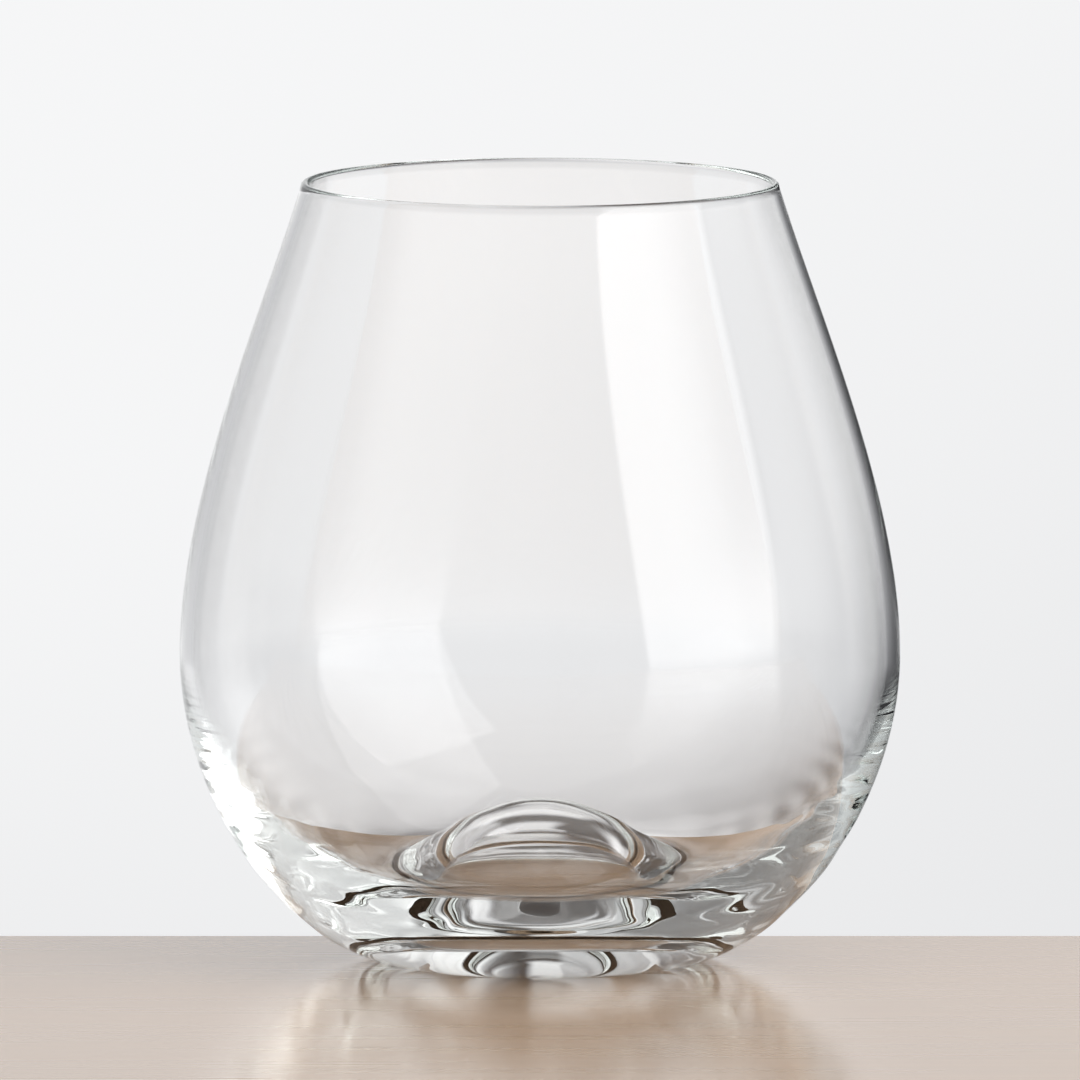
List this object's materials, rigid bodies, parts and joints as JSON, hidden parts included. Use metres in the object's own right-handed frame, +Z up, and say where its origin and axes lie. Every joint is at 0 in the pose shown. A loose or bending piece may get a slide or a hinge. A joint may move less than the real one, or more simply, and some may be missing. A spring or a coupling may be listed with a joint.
{
  "type": "stemless wine glass",
  "caption": "Clear stemless wine glass: round bowl that narrows to a thin rounded rim, on a heavy base with a dome inside and a hollow under it.",
  "frame": {"origin": "centre of the foot ring, on the table that the glass stands on", "axes": "+Z up along the glass's axis of revolution, from the foot ring to the mouth; X and Y are equal"},
  "size_m": [0.1, 0.1, 0.1085],
  "materials": {
    "glass": "clear crystal, fire-polished"
  },
  "bodies": {
    "root": {"bowl": "glass", "base": "glass"}
  },
  "joints": []
}
